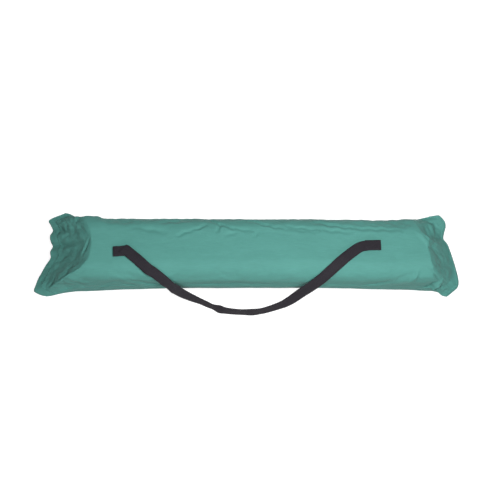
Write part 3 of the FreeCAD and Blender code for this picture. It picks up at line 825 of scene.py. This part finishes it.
# the handle's middle line, and how far it faces up in degrees: close to the solid handle's route
ROUTE = [
    (-0.3440, -0.0150, 0.1342, 90),
    (-0.3330, -0.0195, 0.1342, 90),
    (-0.3200, -0.0300, 0.1335, 88),
    (-0.3040, -0.0440, 0.1324, 80),
    (-0.2870, -0.0590, 0.1294, 68),
    (-0.2700, -0.0730, 0.1245, 57),
    (-0.2500, -0.0835, 0.1150, 44),
    (-0.2140, -0.1050, 0.0860, 40),
    (-0.1870, -0.1120, 0.0500, 34),
    (-0.1600, -0.1180, 0.0270, 22),
    (-0.1320, -0.1265, 0.0168, 15),
    (-0.0770, -0.1500, 0.0158, 13),
    (-0.0210, -0.1580, 0.0158, 13),
    (0.0340, -0.1560, 0.0158, 14),
    (0.0900, -0.1385, 0.0160, 20),
    (0.1180, -0.1270, 0.0240, 30),
    (0.1460, -0.1140, 0.0450, 40),
    (0.1730, -0.1065, 0.0760, 44),
    (0.2000, -0.0950, 0.1030, 48),
    (0.2250, -0.0770, 0.1190, 58),
    (0.2570, -0.0505, 0.1315, 76),
    (0.2810, -0.0300, 0.1325, 88),
    (0.3080, -0.0110, 0.1325, 90),
    (0.3300, -0.0050, 0.1325, 90),
]


def push_out(points, tree, gap):
    """Points nearer to the bag than the gap are moved out to it."""
    reach = 0.03
    if tree is None:
        return points
    out = points.copy()
    for k, p in enumerate(points):
        location, normal, _, distance = tree.find_nearest(Vector(p))
        if distance is None or distance > reach:
            continue
        depth = (Vector(p) - location).dot(normal)
        if depth < gap:
            out[k] = p + np.array(normal) * (gap - depth)
    return out


def close_ends(mesh, count):
    """Caps both ends of a tube that has the given number of points round it."""
    ends = bmesh.new()
    ends.from_mesh(mesh)
    ends.verts.ensure_lookup_table()
    ends.faces.new([ends.verts[k] for k in range(count)])
    ends.faces.new([ends.verts[len(ends.verts) - count + k] for k in range(count)][::-1])
    bmesh.ops.recalc_face_normals(ends, faces=ends.faces)
    ends.to_mesh(mesh)
    ends.free()


def ribbon(name, centre, facing, skew, material, tree, gap, width=WIDTH, thick=THICK, pinch=1.0):
    """Webbing along a line, facing a given way, with rounded edges and UVs in metres across and along."""
    way = unit(np.gradient(centre, axis=0))
    across = unit(np.cross(facing, way))
    up = np.cross(way, across)
    turned = across * np.cos(skew)[:, None] + way * np.sin(skew)[:, None]
    turned /= np.cos(skew)[:, None] ** 0.5
    pinch = pinch * np.ones(len(centre))
    columns = np.linspace(-1, 1, 11)
    lower = []
    for c in columns:
        line = centre + turned * (c * width / 2 * pinch)[:, None] - up * (thick / 2)
        lower.append(push_out(line, tree, gap))
    lower = np.stack(lower, axis=1)
    lower[:, :, 2] = np.maximum(lower[:, :, 2], FLOOR_GAP)
    edge = 1 - 0.55 * np.abs(columns) ** 8  # thinner at both edges
    upper = lower + up[:, None, :] * (thick * edge)[None, :, None]
    lower = lower + up[:, None, :] * (thick * 0.5 * (1 - edge))[None, :, None]
    mesh = grid_mesh(name, np.concatenate([upper, lower[:, ::-1]], axis=1))
    count = 2 * len(columns)
    close_ends(mesh, count)
    layer = mesh.uv_layers.new(name="UVMap")
    u = np.concatenate([columns, columns[::-1]]) * width / 2
    run = run_along(centre)
    for corner in mesh.loops:
        row, column = divmod(corner.vertex_index, count)
        layer.data[corner.index].uv = (u[column], run[row])
    return add_object(name, mesh, material)


def hump(s, place, half):
    """A smooth hump of height 1 at a place along the webbing."""
    return np.exp(-(((s - place) / half) ** 2))


# small twists in the webbing: place along it, turn in radians, and half-length
KINKS = [
    (0.115, 0.30, 0.010),
    (0.205, -0.30, 0.010),
    (0.235, 0.28, 0.012),
    (0.385, -0.08, 0.010),
    (0.412, 0.20, 0.014),
    (0.52, 0.12, 0.02),
]
# where it draws in: place along it, share of the width, and half-length
PINCHES = [(0.22, 0.06, 0.010), (0.395, 0.08, 0.012)]


def make_handle(tree, webbing):
    samples, bag_gap = 230, 0.0022
    s = np.linspace(0, 1, samples)
    line = smooth_line([r[:3] for r in ROUTE], s)
    up_angle = np.radians(np.interp(line[:, 0], [r[0] for r in ROUTE], [r[3] for r in ROUTE]))
    up_angle = up_angle + 0.06 * np.sin(2 * pi * 5.3 * s) * hump(s, 0.40, 0.16)
    for place, turn, half in KINKS:
        up_angle = up_angle + turn * hump(s, place, half)
    facing = np.stack([np.zeros(samples), -np.cos(up_angle), np.sin(up_angle)], axis=1)
    # at its sewn ends the webbing turns in its own plane, from the tabs' direction to its own
    skew = radians(26) * hump(s, 0, 0.030) - radians(10) * hump(s, 1, 0.03)
    pinch = 1 - sum(share * hump(s, place, half) for place, share, half in PINCHES)
    handle = ribbon("handle", line, facing, skew, webbing, tree, bag_gap, pinch=pinch)
    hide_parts("carry_handle")
    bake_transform(handle)


# each sewn end of the handle: its turn in plan in degrees, and how far its two ends are moved along the bag
TABS = {"left": (-4, 0.0, -0.006), "right": (-1, -0.004, 0.0)}


def make_tab(side, tree, webbing):
    """One sewn end of the handle. Returns the lines of its stitches, a box with a diagonal."""
    samples, bag_gap = 26, 0.0004
    low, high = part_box(f"handle_end_{side}")
    turn, left_reach, right_reach = TABS[side]
    slope = np.tan(radians(turn))
    middle_x, middle_y = (low.x + high.x) / 2, (low.y + high.y) / 2
    xs = np.linspace(low.x + left_reach, high.x + right_reach, samples)
    line = np.column_stack([xs, middle_y - (xs - middle_x) * slope, np.full(samples, high.z + 0.001)])
    facing = np.tile([0.0, 0.0, 1.0], (samples, 1))
    tab = ribbon(f"handle_end_{side}_cloth", line, facing, np.zeros(samples), webbing, tree, bag_gap)
    finish_piece(tab, "bag", "webbing", f"handle_end_{side}")
    inset, stitch_lift, stitch_gap, steps = 0.004, 0.0016, 0.0026, 14
    x0, x1 = xs[0] + inset, xs[-1] - inset
    half = WIDTH / 2 - inset
    corners = [(x0, -half), (x1, -half), (x1, half), (x0, half), (x0, -half), (x1, half)]
    lines = []
    for (ax, ay), (bx, by) in zip(corners, corners[1:]):
        t = np.linspace(0, 1, steps)
        px = ax + (bx - ax) * t
        py = middle_y - (px - middle_x) * slope + ay + (by - ay) * t
        points = np.column_stack([px, py, np.full(steps, high.z + stitch_lift)])
        lines.append((push_out(points, tree, stitch_gap), np.tile([0.0, 0.0, 1.0], (steps, 1))))
    return lines


def make_handle_ends(tree, webbing, thread):
    lines = make_tab("left", tree, webbing) + make_tab("right", tree, webbing)
    stitches = dashes("handle_stitches", lines, thread, length=0.0026, gap=0.0012, radius=0.00035)
    finish_piece(stitches, "bag", "stitching", "handle_stitching")


def make_patches(tree, cloth):
    """The cloth patches that back the handle's ends, just under the bag's upper layer."""
    margin, steps, thick = 0.008, 9, 0.0008
    depth = FABRIC + 0.0007
    above, down = 0.3, Vector((0, 0, -1))
    vertices, faces = [], []
    for side in ("left", "right"):
        low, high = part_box(f"handle_end_{side}")
        base = len(vertices)
        for px in np.linspace(low.x - margin, high.x + margin, steps):
            for py in np.linspace(low.y - margin, high.y + margin, steps):
                location, normal, _, _ = tree.ray_cast(Vector((px, py, above)), down)
                vertices.append(location - normal * depth)
        for i in range(steps - 1):
            for j in range(steps - 1):
                k = base + i * steps + j
                faces.append((k, k + steps, k + steps + 1, k + 1))
    mesh = bpy.data.meshes.new("handle_backing")
    mesh.from_pydata([tuple(p) for p in vertices], [], faces)
    piece = add_object("handle_backing", mesh, cloth)
    solid_cloth(piece, thick, 0.0)
    finish_piece(piece, "bag", "binding_tape", "handle_patches")


# ---------------------------------------------------------------- rolled bed cloth and its ties

LAYER = 0.00165  # from one layer of the roll to the next


def make_bed_cloth(cloth):
    """The bed's cloth, folded in two across its length and rolled up from one long side."""
    inner, inset, thick = 0.0045, 0.002, 0.0009
    steps, across_steps = 420, 7
    start = 0.9  # where the outermost turn ends, in radians
    low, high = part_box("bed_cloth")
    centre_y, centre_z = (low.y + high.y) / 2, (low.z + high.z) / 2
    outer = (high.z - low.z) / 2 - LAYER - 0.0006
    turns = (outer - inner) / (2 * LAYER)
    angle = np.linspace(0, 2 * pi * turns, steps)
    r = outer - (outer - inner) * angle / angle[-1]
    r -= 0.0005 * np.sin(3 * angle + 0.8) ** 2  # the roll isn't quite round
    x0, x1 = low.x + inset, high.x - inset
    xs = np.linspace(x1, x0 + 0.001, across_steps)
    fold = [(x, LAYER / 2) for x in xs] + [(x0, 0.0)] + [(x, -LAYER / 2) for x in xs[::-1]]
    rows = []
    for a, radius in zip(angle, r):
        line = []
        for x, away in fold:
            here = radius + away * 0.9
            uneven = 0.0012 * sin(2.3 * a)
            line.append((x + uneven, centre_y + here * cos(a + start), centre_z + here * sin(a + start)))
        rows.append(line)
    piece = add_object("bed_sheet", grid_mesh("bed_sheet", np.array(rows), closed=False), cloth)
    solid_cloth(piece, thick, 0.0)
    finish_piece(piece, "bed_roll", "bed_fabric", "bed_cloth")


def make_ties(webbing):
    """Two webbing ties round the roll, each with its end tucked over its start."""
    thick, width, steps = 0.0007, 0.024, 150
    end_inset, depth, overlap_lift = 0.0125, 0.0012, 0.0009
    low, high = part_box("cloth_ties")
    centre_y, centre_z = (low.y + high.y) / 2, (low.z + high.z) / 2
    outer = (high.z - low.z) / 2
    angle = np.linspace(-0.3, 2 * pi + 0.5, steps)
    r = outer - depth + overlap_lift * ease((angle - 2 * pi + 0.6) / 0.5)
    ys, zs = centre_y + r * np.cos(angle), centre_z + r * np.sin(angle)
    facing = np.column_stack([np.zeros(steps), np.cos(angle), np.sin(angle)])
    for name, x in (("a", low.x + end_inset), ("b", high.x - end_inset)):
        line = np.column_stack([np.full(steps, x), ys, zs])
        tie = ribbon(f"cloth_tie_{name}", line, facing, np.zeros(steps), webbing, None, 0, width, thick)
        finish_piece(tie, "bed_roll", "webbing")
        if name == "a":
            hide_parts("cloth_ties")


# ---------------------------------------------------------------- frame finishes


def give_finish(material, *starts):
    """Gives a material to the CAD nodes whose names start with one of these."""
    for name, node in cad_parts.items():
        if name.startswith(starts):
            for place in node.material_slots:
                place.material = material


# ---------------------------------------------------------------- the scene

make_camera()
make_lights()
make_floor()

CLOTH_GREEN = bag_cloth("coated_green_cloth")
TAPE_GREEN = bag_cloth("green_tape", tuple(c * 0.9 for c in GREEN), weave=0.0016, crinkle=0.2)
BED_GREEN = bag_cloth("green_bed_cloth", tuple(c * 0.86 for c in GREEN), weave=0.0014, crinkle=0.5)
WEBBING = webbing_cloth("black_webbing")
THREAD = plain("dark_thread", (0.012, 0.045, 0.040), 0.7, grain=900)
BLACK_THREAD = plain("black_thread", (0.014, 0.012, 0.014), 0.7, grain=900)
FUZZY_TAPE = plain("hook_and_loop_tape", (0.02, 0.02, 0.021), 0.9, grain=1200, bump=0.6)
PAINT = plain("satin_powder_coat", (0.030, 0.031, 0.034), 0.42, grain=420, wear=0.16, bump=0.30)
NYLON = plain("moulded_nylon", (0.020, 0.020, 0.022), 0.55, grain=700, wear=0.10, bump=0.30)
RUBBER = plain("matt_rubber", (0.016, 0.016, 0.017), 0.80, grain=520, wear=0.20, bump=0.25)
ZINC = brushed("zinc_plate", (0.50, 0.51, 0.53))

bag_rings = wrinkle(bag_grid())
bag_tree = surface_tree(bag_rings)
make_bag(CLOTH_GREEN, bag_rings)
make_seam_stitches(bag_rings, bag_tree, THREAD)
make_mouth_tapes(bag_rings, FUZZY_TAPE)
make_end_binding(bag_rings, CLOTH_GREEN)
make_back_seam(bag_rings, bag_tree, TAPE_GREEN, THREAD)
make_handle(bag_tree, WEBBING)
make_handle_ends(bag_tree, WEBBING, BLACK_THREAD)
make_patches(bag_tree, TAPE_GREEN)
make_bed_cloth(BED_GREEN)
make_ties(WEBBING)

give_finish(PAINT, "foot_rail_left", "foot_rail_right", "head_rail_left", "head_rail_right")
give_finish(PAINT, "foot_leg", "head_leg", "centre_leg_left", "centre_leg_right", "end_bars")
give_finish(NYLON, "foot_rail_plug", "head_rail_plug", "end_bar_caps")
give_finish(NYLON, "foot_cross_washer", "head_cross_washer")
give_finish(RUBBER, "foot_foot_cap", "head_foot_cap", "centre_foot_cap")
give_finish(ZINC, "hinge_", "foot_clevis", "head_clevis", "foot_cross_bolt", "head_cross_bolt")
give_finish(ZINC, "centre_leg_bracket", "centre_leg_pin")
